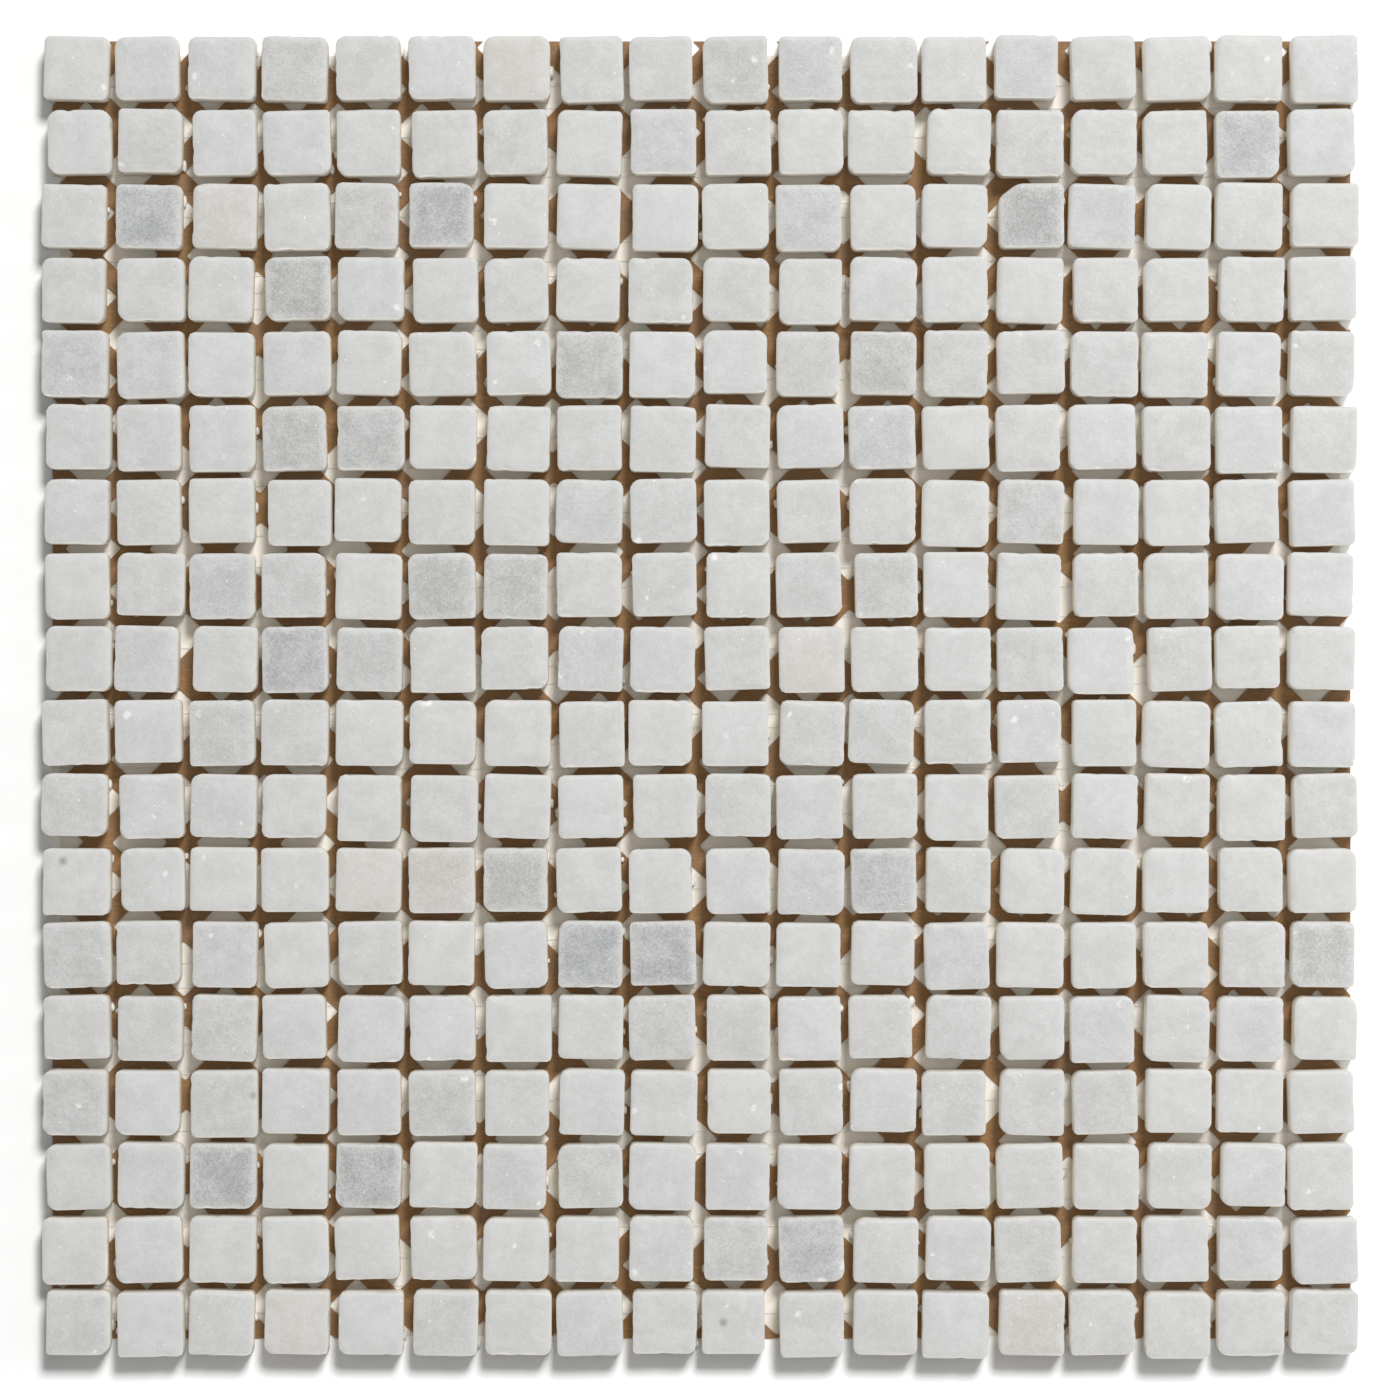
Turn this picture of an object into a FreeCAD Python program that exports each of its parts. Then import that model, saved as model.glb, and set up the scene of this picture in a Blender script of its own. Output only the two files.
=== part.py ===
import FreeCAD, Part
import math
import os
import random

from FreeCAD import Vector

# A sheet of small tumbled stone tiles, laid in rows on a punched paper backing.
# The sheet lies flat: +Z points out of the tiles' faces, X runs along a row, and row 1 is at +Y.
# The origin is on the underside of the paper, in the middle of the sheet. Sizes are in millimetres.

# Tiles
tiles_in_row = 18
row_count = 18
tile_side = 15.0
tile_thickness = 9.6
joint_in_row = 2.0
joint_between_rows = 2.1

# How much one tumbled, hand-laid tile differs from the next
side_spread = 0.5
thickness_spread = 0.3
twist_most = 1.6
level_spread = 0.25
least_joint = 0.6
corner_wear_most = 1.6
corner_wear_seen = 1.15
lay_seed = 7

# The one tile that has lost most of a corner, counted from the upper left
broken_row = 3
broken_place = 14
broken_along_row = 4.2
broken_across_row = 3.2

# Paper backing, set in from the outline of the tiles
paper_thickness = 0.4
paper_inset_left = 1.4
paper_inset_right = 0.6
paper_inset_top = 0.5
paper_inset_bottom = 3.4

# Square holes punched through the paper, in slanting rows
hole_side = 9.2
hole_pitch_rising = 13.66
hole_pitch_falling = 13.96
hole_turn = 45.3
middle_hole_x = 5.75
middle_hole_y = 4.2

# Worked out from the sizes above
pitch_in_row = tile_side + joint_in_row
pitch_between_rows = tile_side + joint_between_rows
half_length = (tiles_in_row * pitch_in_row - joint_in_row) / 2
half_width = (row_count * pitch_between_rows - joint_between_rows) / 2
paper_left = paper_inset_left - half_length
paper_right = half_length - paper_inset_right
paper_top = half_width - paper_inset_top
paper_bottom = paper_inset_bottom - half_width


def prism(points, bottom, height):
    """A flat-topped solid on a closed outline."""
    corners = [Vector(x, y, bottom) for x, y in points]
    outline = Part.makePolygon(corners + corners[:1])
    return Part.Face(outline).extrude(Vector(0, 0, height))


def worn_corner(reach_x, reach_y, side_x, side_y, lost_x, lost_y):
    """The outline's points at one corner: one if it is still square, two where it is worn."""
    if max(lost_x, lost_y) < corner_wear_seen:
        return [(side_x * reach_x, side_y * reach_y)]
    on_end = (side_x * reach_x, side_y * (reach_y - lost_y))
    on_side = (side_x * (reach_x - lost_x), side_y * reach_y)
    return [on_end, on_side] if side_x == side_y else [on_side, on_end]


def room_to_stray(growth, twist):
    """How far along its row a tile can lie from its place and still keep the least joint to the next one."""
    swing = (tile_side + growth) / 2 * math.sin(math.radians(abs(twist)))
    return max((joint_in_row - least_joint - growth) / 2 - swing, 0)


def tile(chance, place_x, place_y, broken):
    """One tumbled tile on the paper, a little off its place, size and angle."""
    growth_x = chance.uniform(-side_spread, side_spread)
    growth_y = chance.uniform(-side_spread, side_spread)
    thickness = tile_thickness - chance.uniform(0, thickness_spread)
    twist = chance.uniform(-twist_most, twist_most)
    stray_x = chance.uniform(-1, 1) * room_to_stray(growth_x, twist)
    # The upper sides of a row's tiles are laid nearly in line, so a taller tile reaches further down.
    stray_y = chance.uniform(-1, 1) * level_spread - growth_y / 2

    points = []
    for side_x, side_y in ((1, 1), (-1, 1), (-1, -1), (1, -1)):
        lost_x = lost_y = chance.uniform(0, corner_wear_most)
        if broken and side_x < 0 < side_y:
            lost_x = broken_along_row
            lost_y = broken_across_row
        reach_x = (tile_side + growth_x) / 2
        reach_y = (tile_side + growth_y) / 2
        points += worn_corner(reach_x, reach_y, side_x, side_y, lost_x, lost_y)

    body = prism(points, paper_thickness, thickness)
    body.rotate(Vector(0, 0, 0), Vector(0, 0, 1), twist)
    body.translate(Vector(place_x + stray_x, place_y + stray_y, 0))
    return body


def row_middle(row):
    """The height of a row's middle line on the sheet, counted from the top row, 0."""
    return half_width - tile_side / 2 - row * pitch_between_rows


def tile_row(chance, row):
    """The tiles of one row, side by side and not touching."""
    place_y = row_middle(row)
    first_x = tile_side / 2 - half_length
    tiles = []
    for place in range(tiles_in_row):
        broken = row == broken_row - 1 and place == broken_place - 1
        tiles.append(tile(chance, first_x + place * pitch_in_row, place_y, broken))
    return Part.makeCompound(tiles)


def punched_holes():
    """Square faces for the holes that reach the paper, in two slanting directions."""
    turn = math.radians(hole_turn)
    rising = Vector(math.cos(turn), math.sin(turn), 0)
    falling = Vector(math.sin(turn), -math.cos(turn), 0)
    middle = Vector(middle_hole_x, middle_hole_y, 0)
    corner_reach = hole_side / math.sqrt(2)
    steps = math.ceil((half_length + half_width) / min(hole_pitch_rising, hole_pitch_falling))

    holes = []
    for up in range(-steps, steps + 1):
        for down in range(-steps, steps + 1):
            centre = middle + rising * (up * hole_pitch_rising) + falling * (down * hole_pitch_falling)
            inside_x = paper_left - corner_reach < centre.x < paper_right + corner_reach
            inside_y = paper_bottom - corner_reach < centre.y < paper_top + corner_reach
            if inside_x and inside_y:
                along = rising * (hole_side / 2)
                across = falling * (hole_side / 2)
                corners = [centre + along + across, centre + along - across,
                           centre - along - across, centre - along + across]
                holes.append(Part.Face(Part.makePolygon(corners + corners[:1])))
    return holes


def paper_half(holes, low_y, high_y):
    """The punched paper between two heights of the sheet."""
    blank = Part.makePlane(paper_right - paper_left, high_y - low_y, Vector(paper_left, low_y, 0))
    net = blank.cut(Part.makeCompound(holes))
    # Beside a hole that crosses the edge, scraps can come off: the largest face is the paper.
    paper = max(net.Faces, key=lambda face: face.Area)
    return paper.extrude(Vector(0, 0, paper_thickness))


def main():
    os.makedirs("parts", exist_ok=True)
    chance = random.Random(lay_seed)
    for row in range(row_count):
        tile_row(chance, row).exportStep("parts/tile_row_%02d.step" % (row + 1))

    # The paper is kept as two halves that meet under the middle of a row of tiles.
    holes = punched_holes()
    seam_y = row_middle(row_count // 2 - 1)
    paper_half(holes, seam_y, paper_top).exportStep("parts/paper_backing_upper.step")
    paper_half(holes, paper_bottom, seam_y).exportStep("parts/paper_backing_lower.step")


main()
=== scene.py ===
import math
import random

import bmesh
import bpy
from mathutils import Matrix, Vector, noise


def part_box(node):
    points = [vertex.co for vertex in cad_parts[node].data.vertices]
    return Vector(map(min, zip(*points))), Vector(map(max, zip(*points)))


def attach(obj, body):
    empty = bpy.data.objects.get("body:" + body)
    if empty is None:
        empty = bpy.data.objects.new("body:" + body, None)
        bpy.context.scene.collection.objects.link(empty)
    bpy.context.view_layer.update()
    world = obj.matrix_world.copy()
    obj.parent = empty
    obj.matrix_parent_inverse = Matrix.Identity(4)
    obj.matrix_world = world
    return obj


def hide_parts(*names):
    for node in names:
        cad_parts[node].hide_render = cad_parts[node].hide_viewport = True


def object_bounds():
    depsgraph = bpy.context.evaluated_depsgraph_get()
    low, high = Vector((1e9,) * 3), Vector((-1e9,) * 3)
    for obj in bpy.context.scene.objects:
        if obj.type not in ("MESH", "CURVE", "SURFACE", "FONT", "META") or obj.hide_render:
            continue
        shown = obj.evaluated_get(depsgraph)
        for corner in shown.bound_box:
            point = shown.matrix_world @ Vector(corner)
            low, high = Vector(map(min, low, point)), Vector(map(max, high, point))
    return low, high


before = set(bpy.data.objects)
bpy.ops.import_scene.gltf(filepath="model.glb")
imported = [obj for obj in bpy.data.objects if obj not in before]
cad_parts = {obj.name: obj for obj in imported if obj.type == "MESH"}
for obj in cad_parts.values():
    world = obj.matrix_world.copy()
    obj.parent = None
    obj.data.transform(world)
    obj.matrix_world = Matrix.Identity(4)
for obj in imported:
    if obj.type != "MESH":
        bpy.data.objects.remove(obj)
cadBox = [list(corner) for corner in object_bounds()]
scene = bpy.context.scene
millimetre = 0.001


def spread(chance, limits):
    return chance.uniform(*limits)


def newPiece(name, mesh, material):
    mesh.materials.append(material)
    piece = bpy.data.objects.new(name, mesh)
    scene.collection.objects.link(piece)
    return piece


def meshFromBmesh(name, source):
    mesh = bpy.data.meshes.new(name)
    source.to_mesh(mesh)
    source.free()
    return mesh


# Camera: straight above the sheet, as in the photograph.
cameraValues = {
    "imagePixels": 1400,
    "pixelsPerMetre": 4321.5,           # at the height of the tiles' faces
    "distance": 1.7,                    # from the tiles' faces
    "sheetMiddle": (699.85, 696.05),    # in the image
    "sensorWidth": 36.0,
    "clip": (0.05, 50.0),
}


def placeCamera():
    values = cameraValues
    middle = values["imagePixels"] / 2
    offsetX = (middle - values["sheetMiddle"][0]) / values["pixelsPerMetre"]
    offsetY = (values["sheetMiddle"][1] - middle) / values["pixelsPerMetre"]
    seenWidth = values["imagePixels"] / values["pixelsPerMetre"]
    data = bpy.data.cameras.new("sheetCamera")
    data.sensor_width = values["sensorWidth"]
    data.lens = values["sensorWidth"] * values["distance"] / seenWidth
    data.clip_start, data.clip_end = values["clip"]
    camera = bpy.data.objects.new("sheetCamera", data)
    camera.location = (offsetX, offsetY, cadBox[1][2] + values["distance"])
    scene.collection.objects.link(camera)
    scene.camera = camera
    scene.view_settings.view_transform = "Standard"
    print("camera placed")


# Nodes: a value that goes into a node can be a plain value or another node's output.
def setNode(tree, kind, settings=None, values=None):
    node = tree.nodes.new(kind)
    for name, value in (settings or {}).items():
        setattr(node, name, value)
    for name, value in (values or {}).items():
        node.inputs[name].default_value = value
    return node


def feed(tree, socket, source):
    if hasattr(source, "is_linked"):
        tree.links.new(source, socket)
    else:
        socket.default_value = source


def combineValues(tree, operation, first, second):
    node = setNode(tree, "ShaderNodeMath", {"operation": operation})
    feed(tree, node.inputs[0], first)
    feed(tree, node.inputs[1], second)
    return node.outputs["Value"]


def multiply(tree, first, second):
    return combineValues(tree, "MULTIPLY", first, second)


def mapValue(tree, value, wanted, reached=(0, 1)):
    shape = setNode(tree, "ShaderNodeMapRange", None, {
        "From Min": reached[0], "From Max": reached[1], "To Min": wanted[0], "To Max": wanted[1]})
    feed(tree, shape.inputs["Value"], value)
    return shape.outputs["Result"]


def scaleVector(tree, vector, factor):
    scaled = setNode(tree, "ShaderNodeVectorMath", {"operation": "SCALE"})
    feed(tree, scaled.inputs[0], vector)
    feed(tree, scaled.inputs["Scale"], factor)
    return scaled.outputs["Vector"]


def splitVector(tree, vector):
    apart = tree.nodes.new("ShaderNodeSeparateXYZ")
    feed(tree, apart.inputs["Vector"], vector)
    return apart.outputs


def blendColour(tree, factor, first, second):
    mix = setNode(tree, "ShaderNodeMix", {"data_type": "RGBA"})
    for number, source in ((0, factor), (6, first), (7, second)):    # its sockets for colours
        feed(tree, mix.inputs[number], source)
    return mix.outputs[2]


def readAttribute(tree, name):
    attribute = setNode(tree, "ShaderNodeAttribute", {"attribute_name": name})
    apart = tree.nodes.new("ShaderNodeSeparateColor")
    feed(tree, apart.inputs["Color"], attribute.outputs["Color"])
    return [apart.outputs[part] for part in ("Red", "Green", "Blue")]


def startMaterial(name, kind="ShaderNodeBsdfPrincipled"):
    material = bpy.data.materials.new(name)
    material.use_nodes = True
    tree = material.node_tree
    tree.nodes.clear()
    out = tree.nodes.new("ShaderNodeOutputMaterial")
    shader = tree.nodes.new(kind)
    feed(tree, out.inputs["Surface"], shader.outputs["BSDF"])
    return material, tree, shader


def addBump(tree, shader, height, distance, strength):
    bump = setNode(tree, "ShaderNodeBump", None, {"Strength": strength, "Distance": distance})
    feed(tree, bump.inputs["Height"], height)
    feed(tree, shader.inputs["Normal"], bump.outputs["Normal"])


# Shader groups that the stone, the paper, the threads and the glue share.
def newGroup(name, sockets):
    group = bpy.data.node_groups.new(name, "ShaderNodeTree")
    for label, direction, kind, value in sockets:
        socket = group.interface.new_socket(label, in_out=direction, socket_type=kind)
        if value is not None:
            socket.default_value = value
    return group, group.nodes.new("NodeGroupInput"), group.nodes.new("NodeGroupOutput")


def makeCloudGroup():
    group, start, end = newGroup("softClouds", [
        ("Vector", "INPUT", "NodeSocketVector", None),
        ("Scale", "INPUT", "NodeSocketFloat", 200.0),
        ("Low", "INPUT", "NodeSocketFloat", 0.4),
        ("High", "INPUT", "NodeSocketFloat", 0.6),
        ("Mask", "OUTPUT", "NodeSocketFloat", None),
    ])
    cloud = setNode(group, "ShaderNodeTexNoise", None, {"Detail": 2.0, "Roughness": 0.62})
    shape = setNode(group, "ShaderNodeMapRange", {"interpolation_type": "SMOOTHSTEP"})
    link = group.links.new
    link(start.outputs["Vector"], cloud.inputs["Vector"])
    link(start.outputs["Scale"], cloud.inputs["Scale"])
    link(cloud.outputs["Fac"], shape.inputs["Value"])
    link(start.outputs["Low"], shape.inputs["From Min"])
    link(start.outputs["High"], shape.inputs["From Max"])
    link(shape.outputs["Result"], end.inputs["Mask"])
    return group


def makeGrainGroup():
    group, start, end = newGroup("fineGrain", [
        ("Vector", "INPUT", "NodeSocketVector", None),
        ("Scale", "INPUT", "NodeSocketFloat", 1500.0),
        ("Share", "INPUT", "NodeSocketFloat", 0.03),
        ("Value", "OUTPUT", "NodeSocketFloat", None),
        ("PaintedGlint", "OUTPUT", "NodeSocketFloat", None),
    ])
    cells = setNode(group, "ShaderNodeTexVoronoi", {"feature": "F1"}, {"Randomness": 1.0})
    tone = group.nodes.new("ShaderNodeSeparateColor")
    link = group.links.new
    link(start.outputs["Vector"], cells.inputs["Vector"])
    link(start.outputs["Scale"], cells.inputs["Scale"])
    link(cells.outputs["Color"], tone.inputs["Color"])
    link(tone.outputs["Red"], end.inputs["Value"])
    # A few cells, as many as the share, become painted glints.
    chosen = combineValues(group, "LESS_THAN", tone.outputs["Green"], start.outputs["Share"])
    link(chosen, end.inputs["PaintedGlint"])
    return group


def makeSpeckGroup():
    group, start, end = newGroup("specks", [
        ("Vector", "INPUT", "NodeSocketVector", None),
        ("Scale", "INPUT", "NodeSocketFloat", 250.0),
        ("Size", "INPUT", "NodeSocketFloat", 0.4),
        ("Light Share", "INPUT", "NodeSocketFloat", 0.16),
        ("Dark Share", "INPUT", "NodeSocketFloat", 0.03),
        ("Light", "OUTPUT", "NodeSocketFloat", None),
        ("Dark", "OUTPUT", "NodeSocketFloat", None),
    ])
    cells = setNode(group, "ShaderNodeTexVoronoi", {"feature": "F1"}, {"Randomness": 1.0})
    tone = group.nodes.new("ShaderNodeSeparateColor")
    edge = setNode(group, "ShaderNodeMapRange", {"interpolation_type": "SMOOTHSTEP"},
                   {"From Min": 0.0, "To Min": 1.0, "To Max": 0.0})
    link = group.links.new
    link(start.outputs["Vector"], cells.inputs["Vector"])
    link(start.outputs["Scale"], cells.inputs["Scale"])
    link(cells.outputs["Color"], tone.inputs["Color"])
    link(cells.outputs["Distance"], edge.inputs["Value"])
    link(multiply(group, tone.outputs["Green"], start.outputs["Size"]), edge.inputs["From Max"])
    for kind, own in (("Light", "Red"), ("Dark", "Blue")):
        chosen = combineValues(group, "LESS_THAN", tone.outputs[own], start.outputs[kind + " Share"])
        link(multiply(group, edge.outputs["Result"], chosen), end.inputs[kind])
    return group


def useGroup(tree, group, vector, values):
    node = setNode(tree, "ShaderNodeGroup", {"node_tree": group}, values)
    feed(tree, node.inputs["Vector"], vector)
    return node.outputs


# Light: a wide lamp from the upper right, a weaker panel on the right, and a white surround that gets
# dimmer towards the left.
lightValues = {
    "lampPlace": (1.65, 4.25, 7.82),
    "lampSize": (1.9, 2.1),
    "lampPower": 632.0,
    "panelPlace": (0.50, 0.02, 0.35),
    "panelSize": (0.35, 0.35),
    "panelPower": 0.64,
    "surroundColour": (1, 1, 1, 1),
    "surroundStrength": (0.02, 0.45),        # from the left and from the right
    "surroundSlant": 0.05,                   # how much up the sheet counts beside across it
    "floorSize": 6.0,
    "floorGap": 0.05 * millimetre,           # keeps the floor's face clear of the paper's
    "floorColour": (0.90, 0.885, 0.845, 1),
    "floorSeen": (1.11, 1.11, 1.105, 1),     # beside the sheet the camera sees a plain white floor
    "underSheetPaintedBounce": (0.90, 0.86, 0.795, 1),    # the floor as it shows through the paper's holes, tinted warm as painted bounce light from the paper and the stone
    "sheetReach": 0.149,                     # how far from the middle the sheet hides the floor
}


def hangLamp(name, place, size, power):
    lamp = bpy.data.lights.new(name, "AREA")
    lamp.shape = "RECTANGLE"
    lamp.size, lamp.size_y = size
    lamp.energy = power
    holder = bpy.data.objects.new(name, lamp)
    holder.location = place
    holder.rotation_euler = Vector(place).to_track_quat("Z", "Y").to_euler()
    scene.collection.objects.link(holder)


def seenDirectly(tree):
    path = tree.nodes.new("ShaderNodeLightPath")
    seen = combineValues(tree, "MAXIMUM", path.outputs["Is Camera Ray"], path.outputs["Is Glossy Ray"])
    return combineValues(tree, "MAXIMUM", seen, path.outputs["Is Transmission Ray"])


def makeLight():
    values = lightValues
    hangLamp("keyLamp", values["lampPlace"], values["lampSize"], values["lampPower"])
    hangLamp("sidePanel", values["panelPlace"], values["panelSize"], values["panelPower"])
    world = bpy.data.worlds.new("surround")
    world.use_nodes = True
    world.cycles.sampling_method = "NONE"
    scene.world = world
    tree = world.node_tree
    tree.nodes.clear()
    out = tree.nodes.new("ShaderNodeOutputWorld")
    seen = setNode(tree, "ShaderNodeBackground", None, {"Color": values["surroundColour"], "Strength": 1.0})
    fill = setNode(tree, "ShaderNodeBackground", None, {"Color": values["surroundColour"]})
    place = tree.nodes.new("ShaderNodeTexCoord")
    towards = splitVector(tree, place.outputs["Generated"])
    across = combineValues(tree, "ADD", towards["X"], multiply(tree, towards["Y"], values["surroundSlant"]))
    feed(tree, fill.inputs["Strength"], mapValue(tree, across, values["surroundStrength"], (-1, 1)))
    mix = tree.nodes.new("ShaderNodeMixShader")
    feed(tree, mix.inputs["Fac"], seenDirectly(tree))
    feed(tree, mix.inputs[1], fill.outputs["Background"])
    feed(tree, mix.inputs[2], seen.outputs["Background"])
    feed(tree, out.inputs["Surface"], mix.outputs["Shader"])


def makeFloor():
    values = lightValues
    material, tree, paint = startMaterial("whiteFloor", "ShaderNodeBsdfDiffuse")
    place = tree.nodes.new("ShaderNodeTexCoord")
    apart = splitVector(tree, place.outputs["Object"])
    reached = combineValues(tree, "MAXIMUM", combineValues(tree, "ABSOLUTE", apart["X"], 0.0),
                            combineValues(tree, "ABSOLUTE", apart["Y"], 0.0))
    outside = combineValues(tree, "GREATER_THAN", reached, values["sheetReach"])
    colour = blendColour(tree, outside, values["underSheetPaintedBounce"], values["floorColour"])
    seen = multiply(tree, seenDirectly(tree), outside)
    feed(tree, paint.inputs["Color"], blendColour(tree, seen, colour, values["floorSeen"]))

    plane = bmesh.new()
    bmesh.ops.create_grid(plane, x_segments=1, y_segments=1, size=values["floorSize"] / 2,
                          matrix=Matrix.Translation((0, 0, -values["floorGap"])))
    floor = newPiece("floor", meshFromBmesh("floor", plane), material)
    print("light and floor made")


# Marble: white with a sugary grain, some stones grey and a few cream.
marbleValues = {
    "white": (0.635, 0.64, 0.633, 1),
    "grey": (0.29, 0.295, 0.305, 1),
    "cream": (0.67, 0.575, 0.47, 1),
    "rim": (0.634, 0.634, 0.617, 1),
    # Painted shade: worn edges are coloured darker than the stone to tone down their lit arrises.
    "wornEdgePaintedShade": (0.595, 0.588, 0.567, 1),
    # Painted light: the sides are coloured lighter and warmer, standing for light that passes through the
    # stone.
    "side": (0.84, 0.80, 0.73, 1),
    # Pale crystals, and painted glints where the grain picks single cells.
    "crystalAndPaintedGlint": (0.95, 0.95, 0.94, 1),
    "speck": (0.20, 0.17, 0.13, 1),
    "jump": (3.1, 1.7, 2.3),                # how far the pattern moves for a stone's own number
    "clouds": {"Scale": 150.0, "Low": 0.36, "High": 0.66},
    "patches": {"Scale": 560.0, "Low": 0.40, "High": 0.62},
    # The grain's share is of cells that get a painted glint.
    "grain": {"Scale": 3000.0, "Share": 0.0005},
    "specks": {"Scale": 210.0, "Size": 0.38, "Light Share": 0.13, "Dark Share": 0.005},
    "speckPatches": (0.3, 1.3),             # how strong the pale specks are between and in patches
    "speckEdge": (0.1, 0.6),                # strengths between which a pale speck becomes a crystal
    "crystalMost": 0.9,
    "rimClears": 0.6,                       # share of the grey that is gone at the rim of a face
    "cloudShare": (1.14, 0.82),             # of the grey and the cream, between and in clouds
    "cloudTone": (0.964, 1.03),             # lightness between and in clouds
    "patchTone": (0.974, 1.02),
    "grainTone": (-0.5, 0.5),
    "grainDepth": (0.06, 0.38),             # on white stones and on grey ones
    "grainGreyness": 0.6,                   # at which the grain is at its deepest
    "rimShare": (0.1, 0.6),                 # between and in patches
    "cover": {"wornEdgePaintedShade": 0.6, "side": 0.85, "crystalAndPaintedGlint": 0.75, "speck": 0.7},
    "roughness": (0.5, 0.25),               # of the stone and of its crystals and painted glints
    "paintedGlowColour": (0.335, 0.317, 0.279),          # painted glow: light given off by the stone's sides and shaded edges, standing for light that has passed through the stone
    "paintedGlowAtFoot": 0.2,
    "paintedGlowFade": 1.5,
    # Painted glow by the way a side faces: axis, how far along it a side has to face, and how much of the
    # painted glow it then gives off; most on sides facing right towards the lamp, least on those facing down
    # into shade.
    "paintedSideGlow": [("X", -0.5, 1.1), ("X", 0.5, 1.75), ("Y", -0.5, 0.4)],
    # The same painted glow for the worn edges that face left and down, away from the lamp into shade, and the
    # heights between which they start to glow.
    "paintedEdgeGlow": [("X", -0.8, 0.9), ("Y", -0.8, 1.9)],
    "paintedEdgeGlowHeights": (8.5 * millimetre, 9.5 * millimetre),
    "pits": {"Scale": 1300.0, "Detail": 1.0},
    "bump": (0.00008, 0.5),                 # depth and strength
}


def colourMarble(tree, groups, vector, look, wornAndPaintedLightMasks):
    values = marbleValues
    greyness, warmth = look
    wear, rim, side = wornAndPaintedLightMasks
    clouds = useGroup(tree, groups["clouds"], vector, values["clouds"])["Mask"]
    patches = useGroup(tree, groups["clouds"], vector, values["patches"])["Mask"]
    grain = useGroup(tree, groups["grain"], vector, values["grain"])
    specks = useGroup(tree, groups["specks"], vector, values["specks"])
    uneven = multiply(tree, specks["Light"], mapValue(tree, patches, values["speckPatches"]))
    pale = mapValue(tree, uneven, (0, values["crystalMost"]), values["speckEdge"])
    crystalsAndPaintedGlints = combineValues(tree, "MAXIMUM", pale, grain["PaintedGlint"])

    inner = combineValues(tree, "SUBTRACT", 1.0, multiply(tree, rim, values["rimClears"]))
    mottled = mapValue(tree, clouds, values["cloudShare"])
    greyShare = multiply(tree, multiply(tree, greyness, inner), mottled)
    colour = blendColour(tree, greyShare, values["white"], values["grey"])
    colour = blendColour(tree, multiply(tree, warmth, mottled), colour, values["cream"])

    # The grain shows most on the grey stones.
    grainDepth = mapValue(tree, greyness, values["grainDepth"], (0, values["grainGreyness"]))
    grainTone = multiply(tree, mapValue(tree, grain["Value"], values["grainTone"]), grainDepth)
    tone = combineValues(tree, "ADD", mapValue(tree, clouds, values["cloudTone"]), grainTone)
    tone = multiply(tree, tone, mapValue(tree, patches, values["patchTone"]))
    rimShare = multiply(tree, rim, mapValue(tree, patches, values["rimShare"]))
    colour = blendColour(tree, rimShare, scaleVector(tree, colour, tone), values["rim"])
    # The worn edges take a painted shade, the sides a painted lighter colour for light through the stone,
    # crystals and painted glints a pale colour, and specks a dark one.
    masks = {"wornEdgePaintedShade": wear, "side": side, "crystalAndPaintedGlint": crystalsAndPaintedGlints, "speck": specks["Dark"]}
    for name, mask in masks.items():
        colour = blendColour(tree, multiply(tree, mask, values["cover"][name]), colour, values[name])
    return colour, crystalsAndPaintedGlints


# Painted glow: emission on the stone's sides and on its shaded worn edges, standing for light that passes
# through the stone.
def paintedGlowOfMarble(tree, place, wear, side):
    values = marbleValues
    height = splitVector(tree, place.outputs["Object"])["Z"]
    facing = splitVector(tree, place.outputs["Normal"])
    depth = mapValue(tree, height, (values["paintedGlowAtFoot"], 1), (0, cadBox[1][2]))
    paintedGlowShare = multiply(tree, side, combineValues(tree, "POWER", depth, values["paintedGlowFade"]))
    for axis, faced, share in values["paintedSideGlow"]:
        paintedGlowShare = multiply(tree, paintedGlowShare, mapValue(tree, facing[axis], (1, share), (0, faced)))
    edge = multiply(tree, wear, mapValue(tree, height, (0, 1), values["paintedEdgeGlowHeights"]))
    for axis, faced, share in values["paintedEdgeGlow"]:
        paintedGlowWhereShaded = mapValue(tree, facing[axis], (0, share), (0, faced))
        paintedGlowShare = combineValues(tree, "ADD", paintedGlowShare, multiply(tree, edge, paintedGlowWhereShaded))
    return scaleVector(tree, values["paintedGlowColour"], paintedGlowShare)


def makeMarble(groups):
    values = marbleValues
    material, tree, shader = startMaterial("tumbledMarble")
    place = tree.nodes.new("ShaderNodeTexCoord")
    greyness, warmth, number = readAttribute(tree, "stoneLook")
    # The stone's wear, its rim, and the mask of its sides for their painted lighter colour and painted glow.
    wear, rim, side = readAttribute(tree, "stoneWearAndPaintedLight")

    # Every stone is cut from another place, so the pattern jumps from tile to tile.
    moved = setNode(tree, "ShaderNodeVectorMath", {"operation": "ADD"})
    feed(tree, moved.inputs[0], place.outputs["Object"])
    feed(tree, moved.inputs[1], scaleVector(tree, values["jump"], number))
    vector = moved.outputs["Vector"]

    colour, crystalsAndPaintedGlints = colourMarble(tree, groups, vector, (greyness, warmth), (wear, rim, side))
    feed(tree, shader.inputs["Base Color"], colour)
    feed(tree, shader.inputs["Roughness"], mapValue(tree, crystalsAndPaintedGlints, values["roughness"]))
    # The stone's painted glow goes in as emission.
    feed(tree, shader.inputs["Emission Color"], paintedGlowOfMarble(tree, place, wear, side))
    shader.inputs["Emission Strength"].default_value = 1.0
    material.cycles.emission_sampling = "NONE"
    pits = setNode(tree, "ShaderNodeTexNoise", None, values["pits"])
    feed(tree, pits.inputs["Vector"], vector)
    addBump(tree, shader, pits.outputs["Fac"], *values["bump"])
    return material


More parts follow.
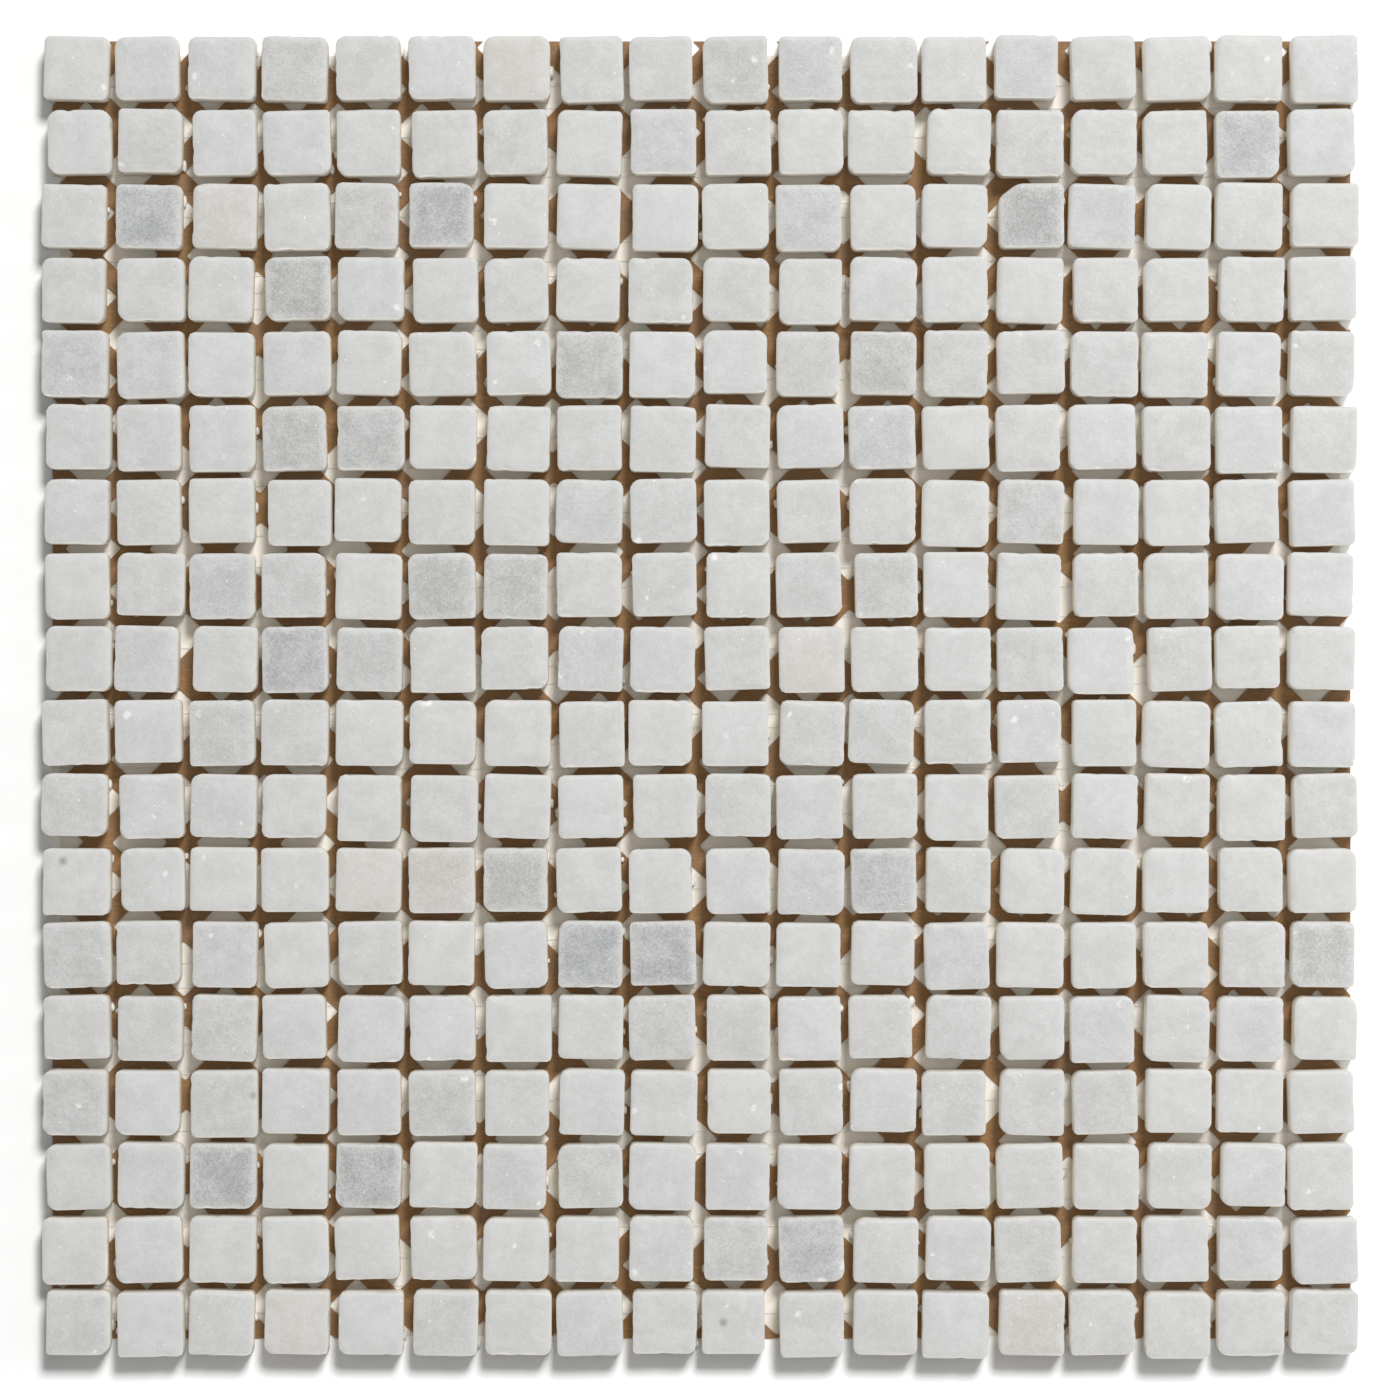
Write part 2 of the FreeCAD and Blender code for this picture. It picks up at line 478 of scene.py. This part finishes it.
# Paper: plain brown, with fibres along the rows and darker damp patches of glue.
paperValues = {
    "nodes": ["paper_backing_upper", "paper_backing_lower"],
    "brown": (0.275, 0.151, 0.061, 1),
    "damp": (0.19, 0.097, 0.037, 1),
    "fibre": (0.43, 0.26, 0.122, 1),
    "dampClouds": {"Scale": 90.0, "Low": 0.48, "High": 0.66},
    "fibreClouds": {"Scale": 260.0, "Low": 0.45, "High": 0.75},
    "fibreDraw": (1.0, 6.0, 1.0),           # so much finer is the fibres' pattern along each axis
    "grain": {"Scale": 2600.0},
    "grainTone": (0.94, 1.06),
    "fibreShare": 0.4,
    "dampShare": 0.5,
    "roughness": (0.75, 0.45),              # of dry and of damp paper
    "bump": (0.00006, 0.5),                 # depth and strength
    "holeSide": 9.2 * millimetre,
    "holePitch": (13.66 * millimetre, 13.96 * millimetre),
    "holeTurn": 45.3,                       # degrees
    "middleHole": (5.75 * millimetre, 4.2 * millimetre),
    "holeCorner": 0.5 * millimetre,
    "cornerSegments": 2,
    "cellsAcross": 35,                      # holes in each direction, enough to reach every edge
}


def makePaperMaterial(groups):
    values = paperValues
    material, tree, shader = startMaterial("brownPaper")
    place = tree.nodes.new("ShaderNodeTexCoord")
    vector = place.outputs["Object"]
    drawn = setNode(tree, "ShaderNodeMapping", None, {"Scale": values["fibreDraw"]})
    feed(tree, drawn.inputs["Vector"], vector)
    damp = useGroup(tree, groups["clouds"], vector, values["dampClouds"])["Mask"]
    fibres = useGroup(tree, groups["clouds"], drawn.outputs["Vector"], values["fibreClouds"])["Mask"]
    grain = useGroup(tree, groups["grain"], vector, values["grain"])["Value"]
    colour = blendColour(tree, multiply(tree, fibres, values["fibreShare"]), values["brown"], values["fibre"])
    colour = blendColour(tree, multiply(tree, damp, values["dampShare"]), colour, values["damp"])
    toned = scaleVector(tree, colour, mapValue(tree, grain, values["grainTone"]))
    feed(tree, shader.inputs["Base Color"], toned)
    feed(tree, shader.inputs["Roughness"], mapValue(tree, damp, values["roughness"]))
    addBump(tree, shader, combineValues(tree, "ADD", grain, fibres), *values["bump"])
    return material


def paperBox():
    boxes = [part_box(name) for name in paperValues["nodes"]]
    low = Vector([min(box[0][axis] for box in boxes) for axis in range(3)])
    high = Vector([max(box[1][axis] for box in boxes) for axis in range(3)])
    return low, high


def punchHoles(sheet):
    values = paperValues
    windows = bmesh.ops.extrude_discrete_faces(sheet, faces=sheet.faces[:])["faces"]
    for window in windows:
        centre = window.calc_center_median()
        for vert in window.verts:
            for axis in (0, 1):
                share = values["holeSide"] / values["holePitch"][axis]
                vert.co[axis] = centre[axis] + (vert.co[axis] - centre[axis]) * share
    corners = list(dict.fromkeys(vert for window in windows for vert in window.verts))
    bmesh.ops.delete(sheet, geom=windows, context="FACES_ONLY")
    bmesh.ops.bevel(sheet, geom=corners, offset=values["holeCorner"], offset_type="OFFSET",
                    segments=values["cornerSegments"], profile=0.5, affect="VERTICES",
                    clamp_overlap=True, material=-1)


def makePaper(material):
    values = paperValues
    low, high = paperBox()
    sheet = bmesh.new()
    cells = values["cellsAcross"]
    bmesh.ops.create_grid(sheet, x_segments=cells, y_segments=cells, size=cells / 2)
    bmesh.ops.scale(sheet, vec=(*values["holePitch"], 1), verts=sheet.verts)
    punchHoles(sheet)
    turn = Matrix.Rotation(math.radians(values["holeTurn"]), 3, "Z")
    bmesh.ops.rotate(sheet, cent=(0, 0, 0), matrix=turn, verts=sheet.verts)
    bmesh.ops.translate(sheet, vec=(*values["middleHole"], 0), verts=sheet.verts)
    for corner, outwards in ((low, -1), (high, 1)):
        for axis in (0, 1):
            normal = [0, 0, 0]
            normal[axis] = outwards
            bmesh.ops.bisect_plane(sheet, geom=sheet.verts[:] + sheet.edges[:] + sheet.faces[:],
                                   plane_co=(corner.x, corner.y, 0), plane_no=normal, clear_outer=True)
    upper = bmesh.ops.extrude_face_region(sheet, geom=sheet.faces[:])["geom"]
    lifted = [item for item in upper if isinstance(item, bmesh.types.BMVert)]
    bmesh.ops.translate(sheet, vec=(0, 0, high.z), verts=lifted)
    bmesh.ops.recalc_face_normals(sheet, faces=sheet.faces)
    piece = newPiece("paperBacking", meshFromBmesh("paperBacking", sheet), material)
    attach(piece, "root")
    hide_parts(*values["nodes"])
    print("paper made:", len(piece.data.polygons), "faces")


# Threads: fine pale ones that run along the rows and show in the paper's holes.
threadValues = {
    "pale": (0.79, 0.76, 0.70),
    "grain": {"Scale": 3200.0},
    "grainTone": (0.92, 1.06),
    "roughness": 0.45,
    "bump": (0.00003, 0.4),                 # depth and strength
    "width": 0.3 * millimetre,
    "thickness": 0.07 * millimetre,
    "height": 0.1 * millimetre,             # of the thread's middle above the floor
    "apart": (3.2 * millimetre, 7.5 * millimetre),
    "cuts": 70,                             # along each thread
    "sway": 0.45 * millimetre,
    "lift": 0.06 * millimetre,
    "swaysPerMetre": 60,
    "liftApart": 9,                         # keeps the lift's waves clear of the sway's
    "seed": 5,
}


def makeThreadMaterial(groups):
    values = threadValues
    material, tree, shader = startMaterial("paleThread")
    place = tree.nodes.new("ShaderNodeTexCoord")
    grain = useGroup(tree, groups["grain"], place.outputs["Object"], values["grain"])["Value"]
    toned = scaleVector(tree, values["pale"], mapValue(tree, grain, values["grainTone"]))
    feed(tree, shader.inputs["Base Color"], toned)
    shader.inputs["Roughness"].default_value = values["roughness"]
    addBump(tree, shader, grain, *values["bump"])
    return material


def makeThreads(material):
    values = threadValues
    chance = random.Random(values["seed"])
    low, high = paperBox()
    length = high.x - low.x
    onEdge = Matrix.Rotation(math.radians(45), 3, "X")    # a square bar on its edge, later flattened
    threads = bmesh.new()
    placeY = low.y + spread(chance, values["apart"])
    while placeY < high.y - values["apart"][0]:
        verts = bmesh.ops.create_cube(threads, size=1)["verts"]
        bmesh.ops.rotate(threads, cent=(0, 0, 0), matrix=onEdge, verts=verts)
        bmesh.ops.scale(threads, vec=(length, values["width"], values["thickness"]), verts=verts)
        middle = ((low.x + high.x) / 2, placeY, values["height"])
        bmesh.ops.translate(threads, vec=middle, verts=verts)
        edges = dict.fromkeys(edge for vert in verts for edge in vert.link_edges)
        long = [edge for edge in edges if edge.calc_length() > length / 2]
        bmesh.ops.subdivide_edges(threads, edges=long, cuts=values["cuts"])
        placeY += spread(chance, values["apart"])
    for vert in threads.verts:
        strand = Vector((vert.co.x * values["swaysPerMetre"], round(vert.co.y / millimetre), 0))
        vert.co.y += values["sway"] * noise.noise(strand)
        vert.co.z += values["lift"] * noise.noise(strand + Vector((0, 0, values["liftApart"])))
    piece = newPiece("crossThreads", meshFromBmesh("crossThreads", threads), material)
    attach(piece, "root")
    print("threads made:", len(piece.data.polygons), "faces")


# Tiles: each CAD tile worn round, with soft arrises and small chips.
tileValues = {
    "mergeWithin": 0.005 * millimetre,
    "flatAngle": 1.0,                       # degrees, below which neighbouring CAD faces are one
    "uprightRise": 2 * millimetre,          # an edge that rises more is a corner of the tile
    "longSide": 4 * millimetre,             # a level edge that is longer is a whole side
    "levelWithin": 0.01 * millimetre,
    "facesUp": 0.9,                         # how far up the normal of a top face points
    "squareCorner": (0.75 * millimetre, 1.65 * millimetre),
    "cutShare": 0.42,                       # of a cut corner's width, rounded off at each of its edges
    "cornerSegments": 2,
    "sideCuts": 7,
    "arris": (0.3 * millimetre, 0.55 * millimetre),
    "arrisSegments": 3,
    "foot": 0.3 * millimetre,
    "footSegments": 1,
    "rings": (0.9, 0.76, 0.5),              # shares of the flat face, so that it can be domed
    "dome": 0.17 * millimetre,              # how far the face falls away towards its edges
    "domeWidth": 4.5 * millimetre,
    "domeDrop": 2 * millimetre,
    "unevenness": 0.05 * millimetre,        # depth of the waves in the faces
    "wavesPerMetre": 190,
    "footClear": millimetre,                # height above the foot at which the unevenness is full
    "chipDepth": 1.1 * millimetre,
    "chipStart": 0.24,
    "chipsPerMetre": 480,
    "patternReach": (0, 50),                # every tile has its own waves and chips
    "edgeWidth": 1.1 * millimetre,          # how far in from the outline the edges are worn
    "edgeDrop": 1.2 * millimetre,           # and how far down from the top
    "edgeWear": 0.75,
    "chipWear": 2,
    "rimWidth": 2.4 * millimetre,
    "paintedLightSideStart": 0.2 * millimetre,          # below the top, where the sides' painted lighter colour and painted glow begin
    "paintedLightSideFade": 0.7 * millimetre,
    "outerEdge": 1.6 * millimetre,
    "outerSidePaintedLightShare": 0.25,                      # sides on the sheet's outside get so much less of the painted glow and the painted lighter colour
    "seed": 11,
}

# The stones that stand out, as (row, place in the row).
stoneLooks = {
    "darkGrey": [(3, 2), (3, 6), (3, 14), (4, 4), (9, 4), (13, 8), (13, 9), (16, 3), (16, 5)],
    "midGrey": [(2, 17), (5, 8), (5, 12), (6, 4), (6, 5), (8, 6), (8, 7), (12, 7), (12, 12), (13, 18),
                (17, 11)],
    "lightGrey": [(1, 4), (1, 10), (3, 5), (3, 11), (5, 1), (6, 12), (7, 14), (8, 3), (8, 12), (10, 3),
                  (13, 1), (14, 3), (14, 9), (15, 1), (15, 6), (17, 10)],
    "cream": [(1, 7), (3, 3), (9, 11), (12, 5), (12, 6), (18, 4), (18, 14)],
    "greyness": {"darkGrey": 0.55, "midGrey": 0.42, "lightGrey": 0.26},
    "plainGreyness": (0.07, 0.055),         # middle and spread
    "creamWarmth": 0.26,
    "plainWarmth": (0.0, 0.10),
}


def stoneLook(chance, row, column):
    greyness = max(0, chance.gauss(*stoneLooks["plainGreyness"]))
    warmth = spread(chance, stoneLooks["plainWarmth"])
    for name, amount in stoneLooks["greyness"].items():
        if (row, column) in stoneLooks[name]:
            greyness = amount
    if (row, column) in stoneLooks["cream"]:
        warmth = stoneLooks["creamWarmth"]
    return (greyness, warmth, chance.random(), 1)


def isUpright(edge):
    return abs(edge.verts[0].co.z - edge.verts[1].co.z) > tileValues["uprightRise"]


def isLevelAt(edge, height):
    return all(abs(vert.co.z - height) < tileValues["levelWithin"] for vert in edge.verts)


def bevelEdges(tile, edges, size, segments):
    bmesh.ops.bevel(tile, geom=edges, offset=size, offset_type="OFFSET", segments=segments,
                    profile=0.5, affect="EDGES", clamp_overlap=True, material=-1)


def roundCorners(tile, chance):
    values = tileValues
    corners = []
    for upright in [edge for edge in tile.edges if isUpright(edge)]:
        narrowest = min(face.calc_area() for face in upright.link_faces) / upright.calc_length()
        size = min(spread(chance, values["squareCorner"]), narrowest * values["cutShare"])
        corners.append((upright, size))
    for upright, size in corners:
        bevelEdges(tile, [upright], size, values["cornerSegments"])


def roundLoop(tile, height, size, segments):
    bevelEdges(tile, [edge for edge in tile.edges if isLevelAt(edge, height)], size, segments)


def addRings(tile, top):
    upward = [face for face in tile.faces if face.normal.z > tileValues["facesUp"]
              and face.calc_center_median().z > top - millimetre]
    face = max(upward, key=lambda face: face.calc_area())
    centre = face.calc_center_median()
    reached = 1.0
    for ring in tileValues["rings"]:
        face = bmesh.ops.extrude_discrete_faces(tile, faces=[face])["faces"][0]
        share = ring / reached
        bmesh.ops.scale(tile, vec=(share, share, 1), space=Matrix.Translation(-centre), verts=face.verts)
        reached = ring
    bmesh.ops.poke(tile, faces=[face])


def fade(distance, width):
    return max(0, 1 - distance / width)


def wearTileAndMarkPaintedLight(tile, chance, outline, bottom, top):
    values = tileValues
    shift = Vector([spread(chance, values["patternReach"]) for _ in range(3)])
    wearAndPaintedLightLayer = tile.verts.layers.float_color["stoneWearAndPaintedLight"]
    low, high = outline
    tile.normal_update()
    moves = []
    for vert in tile.verts:
        place = vert.co
        inset = max(0, min(place.x - low.x, high.x - place.x, place.y - low.y, high.y - place.y))
        drop = top - place.z
        edge = fade(inset, values["edgeWidth"]) * fade(drop, values["edgeDrop"])
        waves = 0.5 + 0.5 * noise.noise(place * values["wavesPerMetre"] + shift)
        chip = max(0, noise.noise(place * values["chipsPerMetre"] + shift * 2) - values["chipStart"])
        depth = values["unevenness"] * waves * min(1, (place.z - bottom) / values["footClear"])
        depth += values["chipDepth"] * chip * edge
        wear = min(1, edge * values["edgeWear"] + chip * edge * values["chipWear"])
        rim = fade(inset, values["rimWidth"])
        # Mask of the sides, for their painted lighter colour and painted glow, which stand for light passing
        # through the stone.
        side = max(0, min(1, (drop - values["paintedLightSideStart"]) / values["paintedLightSideFade"]))
        if any(abs(place[axis]) > cadBox[1][axis] - values["outerEdge"] for axis in (0, 1)):
            side *= values["outerSidePaintedLightShare"]
        vert[wearAndPaintedLightLayer] = (wear, rim, side, 1)
        sunk = values["dome"] * fade(inset, values["domeWidth"]) ** 2 * fade(drop, values["domeDrop"])
        moves.append((vert, vert.normal * depth + Vector((0, 0, sunk))))
    for vert, move in moves:
        vert.co -= move


def shapeTile(tile, chance, look):
    values = tileValues
    bottom = min(vert.co.z for vert in tile.verts)
    top = max(vert.co.z for vert in tile.verts)
    outline = [Vector([choose(vert.co[axis] for vert in tile.verts) for axis in (0, 1)])
               for choose in (min, max)]
    tile.verts.layers.float_color.new("stoneWearAndPaintedLight")
    lookLayer = tile.verts.layers.float_color.new("stoneLook")
    roundCorners(tile, chance)
    level = [edge for edge in tile.edges
             if not isUpright(edge) and edge.calc_length() > values["longSide"]]
    bmesh.ops.subdivide_edges(tile, edges=level, cuts=values["sideCuts"], use_grid_fill=True)
    roundLoop(tile, top, spread(chance, values["arris"]), values["arrisSegments"])
    roundLoop(tile, bottom, values["foot"], values["footSegments"])
    addRings(tile, top)
    wearTileAndMarkPaintedLight(tile, chance, outline, bottom, top)
    for vert in tile.verts:
        vert[lookLayer] = look
    for face in tile.faces:
        face.smooth = face.normal.z > -values["facesUp"]    # all but the underside
    return outline


def findTiles(row):
    row.faces.index_update()
    left = set(row.faces)
    tiles = []
    while left:
        waiting = [left.pop()]
        island = []
        while waiting:
            face = waiting.pop()
            island.append(face)
            for other in {other for edge in face.edges for other in edge.link_faces} & left:
                left.remove(other)
                waiting.append(other)
        tiles.append(island)
    tiles.sort(key=lambda island: min(face.calc_center_median().x for face in island))
    return [{face.index for face in island} for island in tiles]


def makeRow(number, material, chance, outlines):
    values = tileValues
    node = "tile_row_%02d" % number
    blanks = bmesh.new()
    blanks.from_mesh(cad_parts[node].data)
    bmesh.ops.remove_doubles(blanks, verts=blanks.verts, dist=values["mergeWithin"])
    bmesh.ops.dissolve_limit(blanks, angle_limit=math.radians(values["flatAngle"]),
                             verts=blanks.verts, edges=blanks.edges)
    row = bmesh.new()
    for column, own in enumerate(findTiles(blanks), 1):
        tile = blanks.copy()
        others = [face for face in tile.faces if face.index not in own]
        bmesh.ops.delete(tile, geom=others, context="FACES")
        outlines.append(shapeTile(tile, chance, stoneLook(chance, number, column)))
        one = meshFromBmesh("oneTile", tile)
        row.from_mesh(one)
        bpy.data.meshes.remove(one)
    blanks.free()
    name = "tileRow%02d" % number
    piece = newPiece(name, meshFromBmesh(name, row), material)
    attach(piece, "root")
    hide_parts(node)
    return piece


def makeTiles(material):
    chance = random.Random(tileValues["seed"])
    rows = [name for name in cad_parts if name.startswith("tile_row_")]
    outlines = []
    faces = 0
    for number in range(1, len(rows) + 1):
        faces += len(makeRow(number, material, chance, outlines).data.polygons)
    print("tiles made:", faces, "faces")
    return outlines


# Glue: small pale lumps that have come out at the feet of some tiles, where the joints let them show.
glueValues = {
    "pale": (0.82, 0.80, 0.75),
    "clouds": {"Scale": 700.0},
    "cloudTone": (0.9, 1.08),
    "roughness": (0.28, 0.5),               # between and in clouds
    "share": 0.5,                           # lumps for each tile, as many left as right
    "fromOutside": 2 * millimetre,          # no lump is nearer to the sheet's left or right end
    "size": (0.4 * millimetre, 0.95 * millimetre),
    "height": (0.6 * millimetre, 1.4 * millimetre),
    "alongSide": (0.1, 0.9),
    "stretch": [(0.6, 1.1), (1.0, 1.9), (0.6, 1.0)],
    "lumpiness": 0.35,
    "wavesPerMetre": 1400,
    "wavesApart": 900,                      # each lump has its own waves
    "lowest": 0.05 * millimetre,
    "seed": 3,
}


def makeGlueMaterial(groups):
    values = glueValues
    material, tree, shader = startMaterial("paleGlue")
    place = tree.nodes.new("ShaderNodeTexCoord")
    clouds = useGroup(tree, groups["clouds"], place.outputs["Object"], values["clouds"])["Mask"]
    toned = scaleVector(tree, values["pale"], mapValue(tree, clouds, values["cloudTone"]))
    feed(tree, shader.inputs["Base Color"], toned)
    feed(tree, shader.inputs["Roughness"], mapValue(tree, clouds, values["roughness"]))
    return material


def makeGlue(material, outlines):
    values = glueValues
    chance = random.Random(values["seed"])
    ends = cadBox[1][0] - values["fromOutside"]
    glue = bmesh.new()
    for low, high in outlines:
        for side in (low.x, high.x):
            if chance.random() > values["share"] / 2 or abs(side) > ends:
                continue
            size = spread(chance, values["size"])
            along = low.y + (high.y - low.y) * spread(chance, values["alongSide"])
            middle = Vector((side, along, spread(chance, values["height"])))
            lump = bmesh.ops.create_icosphere(glue, subdivisions=2, radius=size)["verts"]
            stretch = [spread(chance, limits) for limits in values["stretch"]]
            bmesh.ops.scale(glue, vec=stretch, verts=lump)
            for vert in lump:
                waves = noise.noise(vert.co * values["wavesPerMetre"] + middle * values["wavesApart"])
                vert.co *= 1 + values["lumpiness"] * waves
            bmesh.ops.translate(glue, vec=middle, verts=lump)
    for vert in glue.verts:
        vert.co.z = max(vert.co.z, values["lowest"])
    for face in glue.faces:
        face.smooth = True
    piece = newPiece("glueLumps", meshFromBmesh("glueLumps", glue), material)
    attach(piece, "root")
    print("glue made:", len(piece.data.polygons), "faces")


placeCamera()
makeLight()
makeFloor()
shaderGroups = {"clouds": makeCloudGroup(), "grain": makeGrainGroup(), "specks": makeSpeckGroup()}
makePaper(makePaperMaterial(shaderGroups))
makeThreads(makeThreadMaterial(shaderGroups))
makeGlue(makeGlueMaterial(shaderGroups), makeTiles(makeMarble(shaderGroups)))

bpy.context.view_layer.update()
